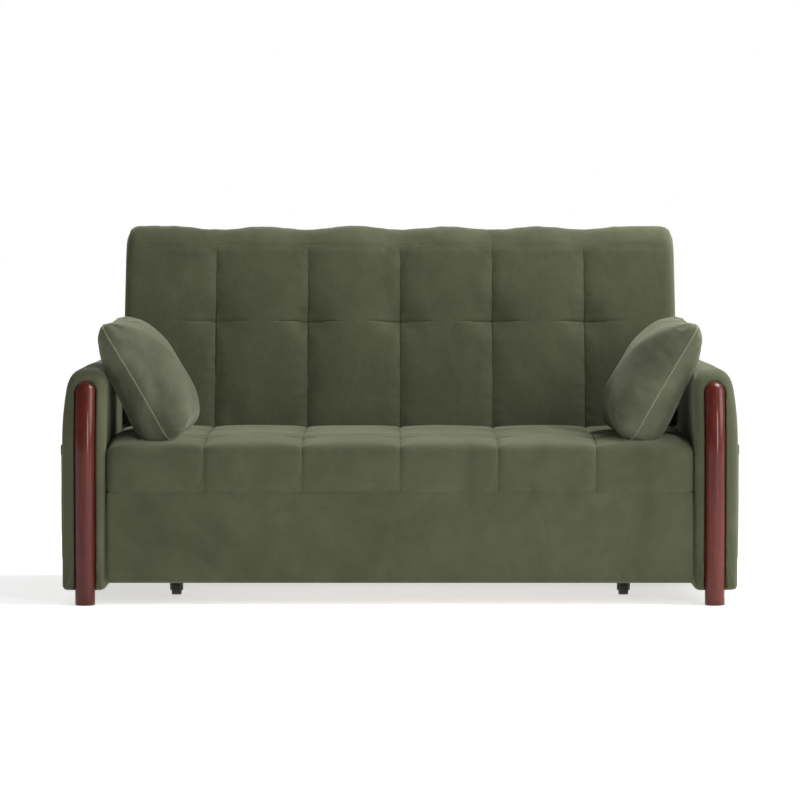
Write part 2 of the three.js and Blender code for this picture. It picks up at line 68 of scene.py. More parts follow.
# ---- materials ----
class Nodes:
    """Builds one material's node tree. The texture space is the piece's own frame, in metres."""

    def __init__(self, name):
        self.material = bpy.data.materials.new(name)
        self.material.use_nodes = True
        self.tree = self.material.node_tree
        self.shader = self.tree.nodes["Principled BSDF"]
        self.coordinates = self.tree.nodes.new("ShaderNodeTexCoord").outputs["Object"]

    def node(self, kind, inputs=(), **settings):
        made = self.tree.nodes.new(kind)
        for key, value in settings.items():
            setattr(made, key, value)
        for key, value in dict(inputs).items():
            if isinstance(value, bpy.types.NodeSocket):
                self.tree.links.new(value, made.inputs[key])
            else:
                made.inputs[key].default_value = value
        return made

    def noise(self, scale, detail=3, stretch=(1, 1, 1), roughness=0.5, distortion=0.0):
        mapped = self.node("ShaderNodeMapping", {"Vector": self.coordinates, "Scale": stretch})
        inputs = {
            "Vector": mapped.outputs[0],
            "Scale": scale,
            "Detail": detail,
            "Roughness": roughness,
            "Distortion": distortion,
        }
        return self.node("ShaderNodeTexNoise", inputs).outputs["Fac"]

    def ramp(self, fac, low, high, start=0.3, end=0.7):
        made = self.node("ShaderNodeValToRGB", {"Fac": fac})
        elements = made.color_ramp.elements
        elements[0].position, elements[1].position = start, end
        elements[0].color, elements[1].color = (*low, 1), (*high, 1)
        return made.outputs[0]

    def mix(self, fac, a, b, blend="MIX"):
        made = self.node("ShaderNodeMix", {0: fac, 6: a, 7: b}, data_type="RGBA", blend_type=blend)
        return made.outputs[2]

    def map(self, fac, low, high, start=0.3, end=0.7):
        inputs = {"Value": fac, "From Min": start, "From Max": end, "To Min": low, "To Max": high}
        return self.node("ShaderNodeMapRange", inputs).outputs[0]

    def bump(self, *layers):
        """layers are (height, distance in metres), coarse first."""
        normal = None
        for height, distance in layers:
            inputs = {"Height": height, "Distance": distance, "Strength": 1.0}
            if normal is not None:
                inputs["Normal"] = normal
            normal = self.node("ShaderNodeBump", inputs).outputs[0]
        self.set("Normal", normal)

    def set(self, key, value):
        if isinstance(value, bpy.types.NodeSocket):
            self.tree.links.new(value, self.shader.inputs[key])
        else:
            self.shader.inputs[key].default_value = value


def velvet_material(name, dark, light, sheen=0.28):
    """Short velvet: soft patches where the nap lies another way, fine fibres and a pale sheen."""
    m = Nodes(name)
    patches = m.noise(5.5, detail=5, stretch=(1, 1, 0.8), roughness=0.6, distortion=0.8)
    brushed = m.noise(22, detail=4, stretch=(1, 1, 0.8), roughness=0.6, distortion=0.5)
    fibres = m.noise(900, detail=2)
    base = m.ramp(patches, dark, light, 0.34, 0.68)
    brushed_color = m.ramp(brushed, (0.86, 0.86, 0.84), (1.12, 1.12, 1.1), 0.3, 0.7)
    color = m.mix(0.8, base, brushed_color, "MULTIPLY")
    fibre_color = m.ramp(fibres, (0.8, 0.8, 0.8), (1.2, 1.2, 1.18), 0.3, 0.7)
    m.set("Base Color", m.mix(0.7, color, fibre_color, "MULTIPLY"))
    m.set("Roughness", m.map(brushed, 0.78, 0.95))
    m.set("Specular IOR Level", 0.2)
    m.set("Sheen Weight", sheen)
    m.set("Sheen Roughness", 0.45)
    m.set("Sheen Tint", (0.78, 0.82, 0.58, 1))
    m.bump((patches, 0.0016), (brushed, 0.0010), (m.noise(160, 3), 0.0003), (fibres, 0.00025))
    return m.material


def wood_material(name, dark, light, roughness, coat, along=(9, 9, 0.7), scale=9):
    """Grain and pores that run along the axis where along is smallest, under a clear coat."""
    m = Nodes(name)
    grain = m.noise(scale, detail=6, stretch=along, roughness=0.62, distortion=1.1)
    pore_stretch = (along[0] / 6, along[1] / 6, along[2] / 2)
    pores = m.noise(scale * 22, detail=3, stretch=pore_stretch, roughness=0.6)
    tone = m.noise(3.1, detail=2)
    base = m.ramp(grain, dark, light, 0.32, 0.68)
    toned = m.mix(0.6, base, m.ramp(tone, (0.75, 0.75, 0.75), (1.2, 1.15, 1.1)), "MULTIPLY")
    pore_color = m.ramp(pores, (0.68, 0.64, 0.64), (1.05, 1.05, 1.05), 0.36, 0.5)
    m.set("Base Color", m.mix(0.55, toned, pore_color, "MULTIPLY"))
    m.set("Roughness", m.map(grain, roughness - 0.06, roughness + 0.1))
    m.set("Specular IOR Level", 0.12)
    m.set("Coat Weight", coat)
    m.set("Coat Roughness", 0.14)
    m.bump((grain, 0.0003), (pores, 0.00015))
    return m.material


def metal_material(name, color, metallic, roughness, grain_scale=500):
    m = Nodes(name)
    wear = m.noise(30, 4)
    grain = m.noise(grain_scale, 2)
    bright = tuple(min(1, c * 1.35 + 0.01) for c in color)
    m.set("Base Color", m.ramp(wear, tuple(c * 0.8 for c in color), bright, 0.35, 0.75))
    m.set("Metallic", metallic)
    m.set("Roughness", m.map(wear, roughness - 0.08, roughness + 0.12))
    m.bump((grain, 0.00012))
    return m.material


def plastic_material(name, color, roughness):
    m = Nodes(name)
    dust = m.noise(45, 4)
    m.set("Base Color", m.ramp(dust, color, tuple(c * 1.7 + 0.008 for c in color), 0.4, 0.8))
    m.set("Roughness", m.map(dust, roughness - 0.06, roughness + 0.14))
    m.bump((m.noise(800, 2), 0.00015))
    return m.material


VELVET = velvet_material("velvet", (0.0525, 0.0563, 0.031), (0.070, 0.0748, 0.0422))
# The pillows' velvet has the same nap patches as the sofa's. Their wider spread and lighter level
# are painted light, standing in for the light on the pillows' open faces.
LIGHTENED_PILLOW_VELVET = velvet_material("pillow_velvet", (0.046, 0.050, 0.030), (0.098, 0.104, 0.067))
PIPING = velvet_material("piping", (0.085, 0.090, 0.052), (0.12, 0.126, 0.078), sheen=1.0)
THREAD = velvet_material("thread", (0.10, 0.107, 0.062), (0.14, 0.148, 0.09), sheen=0.3)
REDDISH = ((0.060, 0.0080, 0.0048), (0.100, 0.0130, 0.0080))
POST_WOOD = wood_material("mahogany", *REDDISH, roughness=0.42, coat=0.36)
LAYERS = ((0.42, 0.27, 0.14), (0.62, 0.44, 0.26))
PLYWOOD = wood_material("plywood", *LAYERS, roughness=0.7, coat=0.0, along=(1, 1, 8), scale=12)
PALE = ((0.52, 0.34, 0.16), (0.74, 0.55, 0.32))
PINE = wood_material("pine", *PALE, roughness=0.6, coat=0.0, along=(7, 0.6, 7), scale=10)
PINE_ACROSS = wood_material(
    "pine_across", *PALE, roughness=0.6, coat=0.0, along=(0.6, 7, 7), scale=10
)
BLACK_STEEL = metal_material("black_steel", (0.035, 0.035, 0.038), metallic=0.2, roughness=0.42)
ZINC = metal_material("zinc", (0.55, 0.56, 0.57), metallic=1.0, roughness=0.36)
BLACK_PLASTIC = plastic_material("black_plastic", (0.022, 0.022, 0.022), roughness=0.5)
SLOT_MATERIAL = {
    "velvet": VELVET,
    "plywood": PLYWOOD,
    "post_wood": POST_WOOD,
    "black_plastic": BLACK_PLASTIC,
    "black_steel": BLACK_STEEL,
    "zinc": ZINC,
    "pine": PINE,
}
for part in frame["record"]["subparts"]:
    node = nodes[part["node"]]
    node.data.materials.clear()
    node.data.materials.append(SLOT_MATERIAL[part["material_slot"]])
    if part["node"].startswith("back_slat"):
        node.data.materials[0] = PINE_ACROSS


# ---- mesh helpers ----
SIDES = {"r": 1, "l": -1}  # the sign of x on each side
SIDE_WORD = {"r": "right", "l": "left"}


def mesh_object(name, points, faces, material, shade_smooth=True):
    """A mesh with its faces turned outwards."""
    mesh = bpy.data.meshes.new(name)
    mesh.from_pydata([tuple(p) for p in points], [], [tuple(f) for f in faces])
    mesh.validate()
    bm = bmesh.new()
    bm.from_mesh(mesh)
    bmesh.ops.recalc_face_normals(bm, faces=bm.faces)
    bm.to_mesh(mesh)
    bm.free()
    mesh.polygons.foreach_set("use_smooth", [shade_smooth] * len(mesh.polygons))
    mesh.materials.append(material)
    obj = bpy.data.objects.new(name, mesh)
    scene.collection.objects.link(obj)
    return obj


def piece(obj, body, slot, *replaced, fill=None):
    """Declares what a finished piece rides on, and hides the CAD nodes that it replaces. The slot
    is not used.
    """
    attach(obj, body)
    if replaced:
        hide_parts(*replaced)
    return obj


def wall(a, b):
    """Quads between two closed rings of vertex numbers."""
    return list(zip(a, np.roll(a, -1), np.roll(b, -1), b))


def fan(ring, tip):
    """Triangles that close a ring of vertex numbers at one vertex."""
    return [(a, b, tip) for a, b in zip(ring, np.roll(ring, -1))]


def grid_quads(index):
    corners = [index[:-1, :-1], index[:-1, 1:], index[1:, 1:], index[1:, :-1]]
    return np.stack(corners, -1).reshape(-1, 4)


def smooth(low, high, x):
    """0 below low, 1 above high, and an S-curve between."""
    v = np.clip((x - low) / (high - low), 0, 1)
    return v * v * (3 - 2 * v)


def bell(x, width):
    return np.exp(-((x / width) ** 2))


def end_share(t, end, reach):
    """0 until reach before either end of a body, rising to 1 at the end."""
    return np.clip((np.abs(t) - (end - reach)) / reach, 0, 1)


def rounding(share):
    """How far a quarter round has drawn in: 0 where it starts (share 0), 1 where it ends."""
    return 1 - np.sqrt(np.maximum(0, 1 - share**2))


def lines(low, high, step, marks=(), offsets=(0, 0.0015, 0.003, 0.005, 0.008, 0.012)):
    """Positions from low to high: evenly spaced, and close together on both sides of each mark."""
    near = [m + sign * o for m in marks for o in offsets for sign in (-1, 1)]
    near = sorted({round(v, 6) for v in near if low < v < high})
    reach = offsets[-1] + step * 0.4 if len(marks) else 0
    even = np.linspace(low, high, max(2, round((high - low) / step)) + 1)[1:-1]
    far = [v for v in even if all(abs(v - m) > reach for m in marks)]
    return np.array([low, *sorted(near + far), high])


def rounded_loop(corners, arc_step=math.radians(9)):
    """Closed polyline round (a, b, radius) corners given clockwise, from the first one's arc."""
    points = []
    n = len(corners)
    for i, (a, b, r) in enumerate(corners):
        here = np.array([a, b])
        before = np.array(corners[i - 1][:2]) - here
        after = np.array(corners[(i + 1) % n][:2]) - here
        before /= np.linalg.norm(before)
        after /= np.linalg.norm(after)
        half = math.acos(np.clip(before @ after, -1, 1)) / 2
        reach = r / math.tan(half)
        centre = here + (before + after) / np.linalg.norm(before + after) * r / math.sin(half)
        start = here + before * reach - centre
        end = here + after * reach - centre
        a0 = math.atan2(start[1], start[0])
        turn = (math.atan2(end[1], end[0]) - a0 + math.pi) % (2 * math.pi) - math.pi
        steps = max(2, round(abs(turn) / arc_step))
        for k in range(steps + 1):
            angle = a0 + turn * k / steps
            points.append(centre + r * np.array([math.cos(angle), math.sin(angle)]))
    return np.array(points)


class Loop:
    """A closed clockwise outline, measured along its length."""

    def __init__(self, points):
        self.points = np.vstack([points, points[:1]])
        steps = np.linalg.norm(np.diff(self.points, axis=0), axis=1)
        self.at = np.concatenate([[0], np.cumsum(steps)])
        self.length = self.at[-1]

    def point(self, s):
        s = np.mod(s, self.length)
        return np.stack([np.interp(s, self.at, self.points[:, i]) for i in (0, 1)], -1)

    def normal(self, s, reach=0.002):
        d = self.point(s + reach) - self.point(s - reach)
        d /= np.linalg.norm(d, axis=-1, keepdims=True)
        return np.stack([-d[..., 1], d[..., 0]], -1)

    def nearest(self, a, b):
        s = np.linspace(0, self.length, 4000)
        return s[np.argmin(np.linalg.norm(self.point(s) - np.array([a, b]), axis=1))]


def extruded(
    name, loop, at_s, at_t, inset, place, push, material, cap_bulge, cap_rings=7, sewn=None
):
    """A closed body: the loop carried along t, drawn in by inset(s, t), out by push(s, t).
    s is measured along the loop. Only the vertices where sewn(s, t) is false move as cloth."""
    s, t = np.meshgrid(at_s[:-1], at_t)
    flat, out = loop.point(s), loop.normal(s)
    amount = inset(s, t)
    section = flat + out * (push(s, t) - amount)[..., None]
    rows, columns = s.shape
    points = [place(section, t).reshape(-1, 3)]
    faces = []
    index = np.arange(rows * columns).reshape(rows, columns)
    for i in range(rows - 1):
        faces += wall(index[i], index[i + 1])
    count = rows * columns
    for end, side in ((0, -1), (rows - 1, 1)):
        rim, ring = section[end], index[end]
        centre = (rim.max(0) + rim.min(0)) / 2
        for k in range(1, cap_rings):
            share = 1 - k / cap_rings
            inner = centre + (rim - centre) * share
            depth = at_t[end] + side * cap_bulge * (1 - share**2)
            points.append(place(inner, np.full(columns, depth)))
            new = count + np.arange(columns)
            count += columns
            faces += wall(ring, new)
            ring = new
        points.append(place(centre[None], np.array([at_t[end] + side * cap_bulge])))
        faces += fan(ring, count)
        count += 1
    obj = mesh_object(name, np.vstack(points), faces, material)
    if sewn is not None:
        held = np.concatenate([sewn(s, t).reshape(-1), np.ones(count - rows * columns, bool)])
        sew(obj, np.flatnonzero(held))
    return obj


def straight(section, t):
    """Places a (y, z) section at x = t."""
    return np.stack([t, section[..., 0], section[..., 1]], -1)


SEWN = "sewn"


def sew(obj, vertices):
    """Names the vertices that the cloth simulation holds."""
    obj.vertex_groups.new(name=SEWN).add(vertices.tolist(), 1.0, "REPLACE")


def coordinates(mesh):
    points = np.empty(len(mesh.vertices) * 3)
    mesh.vertices.foreach_get("co", points)
    return points.reshape(-1, 3)


def swell(obj, pressure, cap, slack=0.01, frames=16, tension=15, bending=0.3):
    """Runs a cover as cloth under its filling's pressure, held where it is sewn, and keeps the
    result, with no point moved further than cap."""
    start = coordinates(obj.data)
    cloth = obj.modifiers.new("cloth", "CLOTH")
    settings = cloth.settings
    settings.quality = 5
    settings.mass = 0.3
    settings.tension_stiffness = settings.compression_stiffness = tension
    settings.shear_stiffness = tension / 3
    settings.bending_stiffness = bending
    settings.shrink_min = -slack
    settings.use_pressure = True
    settings.uniform_pressure_force = pressure
    settings.effector_weights.gravity = 0
    settings.vertex_group_mass = SEWN
    cloth.point_cache.frame_start, cloth.point_cache.frame_end = 1, frames
    for f in range(1, frames + 1):
        scene.frame_set(f)
    graph = bpy.context.evaluated_depsgraph_get()
    move = coordinates(obj.evaluated_get(graph).to_mesh()) - start
    obj.modifiers.clear()
    scene.frame_set(1)
    length = np.maximum(np.linalg.norm(move, axis=1, keepdims=True), 1e-9)
    move *= cap * np.tanh(length / cap) / length
    obj.data.vertices.foreach_set("co", (start + move).reshape(-1))
    obj.data.update()


def waves(seed, shortest, longest, count=26, dimensions=2):
    """Smooth seeded noise between about -1 and 1 with wavelengths in metres."""
    rng = np.random.default_rng(seed)
    lengths = np.exp(rng.uniform(math.log(shortest), math.log(longest), count))
    directions = rng.normal(size=(count, dimensions))
    directions /= np.linalg.norm(directions, axis=1, keepdims=True)
    k = 2 * math.pi / lengths[:, None] * directions
    phases = rng.uniform(0, 2 * math.pi, count)
    sizes = lengths / lengths.max()
    sizes /= math.sqrt((sizes**2).sum() / 2)

    def value(*coordinates):
        total = 0
        for ki, phase, size in zip(k, phases, sizes):
            total = total + size * np.sin(sum(a * c for a, c in zip(ki, coordinates)) + phase)
        return total / 2

    return value


# ---- tufting shared by the seat and the backrest ----
CELL = 0.2405
SEAMS = np.array([-2, -1, 0, 1, 2]) * CELL


def column_crown(x, power=2.4):
    """1 in the middle of each tufted column and 0 at its seams, staying up at the outer ends."""
    u = np.mod(x, CELL) / CELL * 2 - 1
    u = np.where(np.abs(x) > 2.5 * CELL, 0, u)
    return 1 - np.abs(u) ** power


def scallop(x):
    """Like column_crown, but as smooth in the valleys as on the peaks."""
    wave = 0.5 - 0.5 * np.cos(2 * math.pi * x / CELL)
    return np.where(np.abs(x) > 2.5 * CELL, 1, wave)


def from_seam(x):
    return np.min([np.abs(x - line) for line in SEAMS], axis=0)


def sewn_lines(x, s, depth, start, end, wobble, fade=0.02):
    """Depth of the narrow stitched valleys that run along s, between start and end."""
    off = from_seam(x + 0.0008 * wobble(s, x * 0))
    line = bell(off, 0.0016) + 0.25 * bell(off, 0.008)
    return depth * line * smooth(start - fade, start + fade, s) * smooth(end + fade, end - fade, s)


def tufts(x, s, at, depth, radius, crease, reach, wobble):
    """Depth of the dimples where the line s = at crosses the seams, and of creases beside them."""
    off = from_seam(x)
    down = (s - at) * np.where(s > at, 0.8, 1.15)
    dimple = depth * bell(np.hypot(off * 0.9, down), radius)
    level = s - at - 0.0016 * wobble(x, s * 0 + at)
    beside = crease * bell(off, reach) * (bell(level, 0.0022) + 0.5 * bell(level, 0.009))
    return dimple + beside


# ---- seat cushion ----
seat_low, seat_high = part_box("seat_cushion")
SEAT_HALF = seat_high[0]
SEAT_FRONT, SEAT_BACK = seat_low[1], seat_high[1]
SEAT_BASE, SEAT_TOP = seat_low[2], seat_high[2]
EDGE_DROP, EDGE_RUN = 0.018, 0.16  # the top falls by the first over the second, to the front
REAR_TOP_GAP, REAR_BASE_GAP = 0.005, 0.027  # the rear leans forward, clear of the backrest
CREASE_AT = 0.118  # the first row of tufts, from the front
seat_loop = Loop(
    rounded_loop(
        [
            (SEAT_FRONT, SEAT_BASE - 0.003, 0.0025),
            (SEAT_FRONT, SEAT_TOP - EDGE_DROP, 0.010),
            (SEAT_FRONT + EDGE_RUN, SEAT_TOP, 0.11),
            (SEAT_BACK - REAR_TOP_GAP, SEAT_TOP, 0.016),
            (SEAT_BACK - REAR_BASE_GAP, SEAT_BASE, 0.008),
        ]
    )
)
front_edge = seat_loop.nearest(SEAT_FRONT + 0.004, SEAT_TOP - EDGE_DROP)
front_crease = seat_loop.nearest(SEAT_FRONT + CREASE_AT, SEAT_TOP)
back_crease = seat_loop.nearest(SEAT_FRONT + CREASE_AT + CELL, SEAT_TOP)
seat_start = seat_loop.nearest(SEAT_FRONT, SEAT_BASE)
seat_end = seat_loop.nearest(SEAT_BACK - 0.012, SEAT_TOP - 0.02)
pucker = waves(5, 0.012, 0.05)
soft = waves(9, 0.08, 0.4)
seat_wobble = waves(3, 0.02, 0.09)
END_REACH, END_DROP = 0.045, 0.013  # the round-off of the top at the seat's ends
EDGE_REACH, EDGE_ROUND = 0.009, 0.008  # and of its front, sharper


def seat_inset(s, t):
    top = smooth(seat_start + 0.05, seat_start + 0.13, s) * smooth(seat_end + 0.03, seat_end, s)
    drop = END_DROP * rounding(end_share(t, SEAT_HALF, END_REACH)) * top
    edge = rounding(end_share(t, SEAT_HALF, EDGE_REACH))
    return drop + EDGE_ROUND * edge * (1 - 0.6 * top)


FRONT_CROWN, TOP_CROWN, TOP_LIFT = 0.0014, 0.0022, 0.0022
SEAT_SEAM, SEAT_TUFT, SEAT_CREASE = 0.0018, 0.0028, 0.0010


def seat_push(s, t):
    skin = smooth(seat_start - 0.006, seat_start + 0.010, s) * smooth(seat_end + 0.02, seat_end, s)
    top = smooth(front_edge - 0.01, front_edge + 0.05, s)
    h = (FRONT_CROWN + TOP_CROWN * top) * column_crown(t) + TOP_LIFT * top
    h -= sewn_lines(t, s, SEAT_SEAM + 0.0010 * top, seat_start - 0.03, seat_end, seat_wobble)
    h -= 0.0016 * bell(from_seam(t), 0.012) * bell(s - front_edge, 0.014)
    base = s - seat_start
    h -= 0.0012 * bell(from_seam(t), 0.014) * bell(base, 0.010) + 0.0010 * bell(base, 0.007)
    for crease in (front_crease, back_crease):
        h -= tufts(t, s, crease, SEAT_TUFT, 0.024, SEAT_CREASE, 0.045, seat_wobble)
    h += 0.0012 * soft(t, s) * (0.4 + 0.6 * top)
    h += 0.0013 * pucker(t, s * 0.25) * bell(s - seat_start, 0.014)
    return h * skin


def seat_sewn(s, t):
    free = (s > seat_start + 0.006) & (s < seat_end) & (np.abs(t) < SEAT_HALF - 0.012)
    tuft = (np.abs(s - front_crease) < 0.02) | (np.abs(s - back_crease) < 0.02)
    return ~free | (from_seam(t) < 0.0022) | (tuft & (from_seam(t) < 0.012))


SEAM_OFFSETS = (0, 0.0015, 0.003, 0.005, 0.008, 0.013)
seat = extruded(
    "seat_cushion_cover",
    seat_loop,
    lines(0, seat_loop.length, 0.0085, [seat_start, front_crease, back_crease]),
    lines(-SEAT_HALF, SEAT_HALF, 0.009, SEAMS, SEAM_OFFSETS),
    seat_inset,
    straight,
    seat_push,
    VELVET,
    cap_bulge=0.0008,
    sewn=seat_sewn,
)
swell(seat, pressure=4.0, cap=0.0018)
piece(seat, "seat_unit", "velvet", "seat_cushion", fill=0.8)

# ---- front panel ----
panel_low, panel_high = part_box("front_panel_cover")
panel_loop = Loop(
    rounded_loop(
        [
            (panel_low[1], panel_low[2], 0.007),
            (panel_low[1], SEAT_BASE, 0.0035),
            (panel_high[1], SEAT_BASE, 0.002),
            (panel_high[1], panel_low[2], 0.002),
        ]
    )
)
panel_bottom = panel_loop.nearest(panel_low[1], panel_low[2])
panel_top = panel_loop.nearest(panel_low[1], panel_high[2])
panel_soft = waves(21, 0.09, 0.5)
panel_pucker = waves(22, 0.012, 0.05)
PANEL_REACH, PANEL_ROUND = 0.007, 0.0065


def panel_inset(s, t):
    return PANEL_ROUND * rounding(end_share(t, SEAT_HALF, PANEL_REACH))


def panel_push(s, t):
    middle = (panel_bottom + panel_top) / 2
    v = np.clip((s - middle) / ((panel_top - panel_bottom) / 2), -1, 1)
    front = smooth(panel_bottom - 0.004, panel_bottom + 0.01, s)
    front = front * smooth(panel_top + 0.004, panel_top - 0.01, s)
    h = 0.0022 * (1 - v**4) + 0.0011 * panel_soft(t, s)
    h += 0.0012 * panel_pucker(t, s * 0.3) * bell(s - panel_top, 0.016)
    return h * front


panel = extruded(
    "front_panel_cloth",
    panel_loop,
    lines(0, panel_loop.length, 0.009, [panel_bottom, panel_top], (0, 0.002, 0.004, 0.007, 0.011)),
    lines(-SEAT_HALF, SEAT_HALF, 0.01, [-SEAT_HALF, SEAT_HALF], (0.001, 0.002, 0.004, 0.007)),
    panel_inset,
    straight,
    panel_push,
    VELVET,
    cap_bulge=0.0002,
    cap_rings=3,
)
piece(panel, "seat_unit", "velvet", "front_panel_cover", fill=0.3)

# ---- rear panel ----
rear_low, rear_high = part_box("rear_panel")
rear_half = rear_high[0]
rear_loop = Loop(
    rounded_loop(
        [
            (rear_low[1], rear_low[2], 0.003),
            (rear_low[1], rear_high[2], 0.003),
            (rear_high[1], rear_high[2], 0.005),
            (rear_high[1], rear_low[2], 0.005),
        ]
    )
)
REAR_REACH, REAR_ROUND = 0.006, 0.005


def rear_inset(s, t):
    return REAR_ROUND * rounding(end_share(t, rear_half, REAR_REACH))


def rear_push(s, t):
    p = rear_loop.point(s)
    v = np.clip((p[..., 1] - rear_low[2]) / (rear_high[2] - rear_low[2]) * 2 - 1, -1, 1)
    outside = smooth(rear_high[1] - 0.004, rear_high[1], p[..., 0])
    ends = smooth(rear_half, rear_half - 0.03, np.abs(t))
    return outside * ends * (0.0028 * (1 - v**4) + 0.0012 * panel_soft(t, s))


rear_cloth = extruded(
    "rear_panel_cloth",
    rear_loop,
    lines(0, rear_loop.length, 0.009),
    lines(-rear_half, rear_half, 0.012, [-rear_half, rear_half], (0.001, 0.002, 0.004, 0.006)),
    rear_inset,
    straight,
    rear_push,
    VELVET,
    cap_bulge=0.0002,
    cap_rings=3,
)
piece(rear_cloth, "arm_base", "velvet", "rear_panel", fill=0.2)


# ---- front wheels, with a moulded tread ----
WHEEL_SIDES = 96
TREAD_DEPTH = 0.0012


WHEEL_BORE = 0.0045
TREAD_RIBS = 9
TREAD_END, RIB_HALF = 0.78, 0.055  # as shares of the wheel's half width
DISC = [(0.38, 1.0), (0.44, 0.88), (0.76, 0.88), (0.80, 1.0), (0.86, 1.0), (0.97, 0.86)]


def wheel_object(name, node):
    """A turned profile: a dished disc (radius and half width as shares) and a grooved tread."""
    low, high = (np.array(corner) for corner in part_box(node))
    centre, radius, half = (low + high) / 2, (high[2] - low[2]) / 2, (high[0] - low[0]) / 2
    side = [(WHEEL_BORE, half)] + [(radius * r, half * w) for r, w in DISC]
    profile = [(-w, r, 0) for r, w in side]
    for k, x in enumerate(np.linspace(-TREAD_END, TREAD_END, TREAD_RIBS)):
        rib = radius - (TREAD_DEPTH if k % 2 else 0)
        profile += [(half * (x - RIB_HALF), rib, 1), (half * (x + RIB_HALF), rib, 1)]
    profile += [(w, r, 0) for r, w in side[::-1]]
    x, r, tread = np.array(profile).T
    turn = np.arange(WHEEL_SIDES)[:, None]
    groove = np.where(turn % 4 == 0, TREAD_DEPTH * 0.8, 0) * tread
    angle = turn / WHEEL_SIDES * 2 * math.pi
    across, up = (r - groove) * np.cos(angle), (r - groove) * np.sin(angle)
    rings = np.stack([x + 0 * angle, across, up], -1) + centre
    index = np.arange(WHEEL_SIDES * len(x)).reshape(WHEEL_SIDES, len(x))
    faces = []
    for i in range(WHEEL_SIDES):
        faces += wall(index[i], index[(i + 1) % WHEEL_SIDES])
    return mesh_object(name, rings.reshape(-1, 3), faces, BLACK_PLASTIC, shade_smooth=False)


for label in SIDES:
    wheel = wheel_object(f"treaded_wheel_{label}", f"front_wheel_{label}")
    piece(wheel, f"wheel_{SIDE_WORD[label]}", "black_plastic", f"front_wheel_{label}")

# ---- backrest, drawn upright in its own frame with the origin on the hinge axis ----
RECLINE = math.radians(10)
HINGE = Vector(joints["backrest_recline"]["pos_m"])
TO_BACK = Matrix.Translation(HINGE) @ Matrix.Rotation(-RECLINE, 4, "X")
BACK_THICKNESS = 0.132
BACK_FACE = HINGE[2] - SEAT_TOP
BACK_REAR = BACK_FACE + BACK_THICKNESS
BACK_BASE = -0.045
PEAK_BEHIND_HINGE = 0.040  # the highest point of the leaning backrest lies this far behind
back_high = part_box("back_cushion")[1]
BACK_TOP = (back_high[2] - HINGE[2] - PEAK_BEHIND_HINGE * math.sin(RECLINE)) / math.cos(RECLINE)
TUFT_HEIGHT = 0.3475
TOP_BAND = 0.055
REAR_BAND = 0.045
back_loop = Loop(
    rounded_loop(
        [
            (BACK_FACE, BACK_BASE, 0.025),
            (BACK_FACE, BACK_TOP, 0.060),
            (BACK_REAR, BACK_TOP, 0.036),
            (BACK_REAR, BACK_BASE, 0.025),
        ]
    )
)
tuft_row = back_loop.nearest(BACK_FACE, TUFT_HEIGHT)
top_seam = back_loop.nearest(BACK_FACE, BACK_TOP - TOP_BAND)
face_start = back_loop.nearest(BACK_FACE, 0.02)
roll_end = back_loop.nearest(BACK_REAR - REAR_BAND, BACK_TOP)
rear_top = back_loop.nearest(BACK_REAR, BACK_TOP - REAR_BAND)
rear_base = back_loop.nearest(BACK_REAR, 0.03)
back_soft = waves(31, 0.09, 0.45)
back_pucker = waves(32, 0.012, 0.05)
back_wobble = waves(33, 0.02, 0.09)
NOTCH_X, NOTCH_TOP = 0.674, 0.062  # below this height the backrest is narrower, clear of the hinges
SIDE_ROUND, CORNER_ROUND = 0.013, 0.032  # at the sides, and at the two top corners


def back_inset(s, t):
    top = smooth(BACK_TOP - 0.10, BACK_TOP - 0.012, back_loop.point(s)[..., 1])
    depth = SIDE_ROUND + (CORNER_ROUND - SIDE_ROUND) * top
    return depth * rounding(end_share(t, SEAT_HALF, depth))


BACK_CROWN, BACK_SEAM = 0.0044, 0.0034
BACK_TUFT, BACK_TUFT_RADIUS, BACK_CREASE, BACK_CREASE_REACH = 0.0100, 0.038, 0.0032, 0.052
ROLL_SCALLOP, ROLL_LIFT = 0.0083, 0.0037
REAR_CROWN, REAR_SEAM = 0.0022, 0.0016


def back_push(s, t):
    face = smooth(face_start - 0.02, face_start + 0.02, s)
    face = face * smooth(top_seam + 0.02, top_seam - 0.02, s)
    rows = 1 - 0.35 * bell(from_seam(t), 0.07) * bell(s - tuft_row, 0.05)
    h = BACK_CROWN * column_crown(t) * rows
    near_tuft = 0.55 + 0.45 * bell(s - tuft_row, 0.09)
    h -= near_tuft * sewn_lines(t, s, BACK_SEAM, face_start, top_seam - 0.022, back_wobble)
    tuft = (BACK_TUFT, BACK_TUFT_RADIUS, BACK_CREASE, BACK_CREASE_REACH)
    h -= tufts(t, s, tuft_row, *tuft, back_wobble)
    h *= face
    h -= 0.0005 * bell(s - top_seam, 0.0035) * np.maximum(0, 0.2 + back_wobble(t, s * 0))
    roll = smooth(top_seam - 0.02, top_seam + 0.02, s) * smooth(roll_end + 0.03, roll_end, s)
    h -= roll * ROLL_SCALLOP * (1 - scallop(t))
    h += roll * (0.0008 * back_pucker(t, s * 0.5) + ROLL_LIFT)
    rear = smooth(rear_top, rear_top + 0.03, s) * smooth(rear_base, rear_base - 0.03, s)
    h += rear * REAR_CROWN * (1 - np.clip(np.abs(t) / SEAT_HALF, 0, 1) ** 4)
    h -= REAR_SEAM * bell(s - rear_top, 0.003) + REAR_SEAM * bell(s - rear_base, 0.003)
    h += 0.0010 * back_soft(t, s) * (face + roll + rear)
    return h - 0.001


def back_sewn(s, t):
    free = (s > face_start) & (s < top_seam - 0.010) & (np.abs(t) < SEAT_HALF - 0.016)
    tuft = (np.abs(s - tuft_row) < 0.02) & (from_seam(t) < 0.014)
    return ~free | ((from_seam(t) < 0.0022) & (s < top_seam - 0.02)) | tuft


TAPER = 0.0045  # the share of its width that the backrest loses at the top


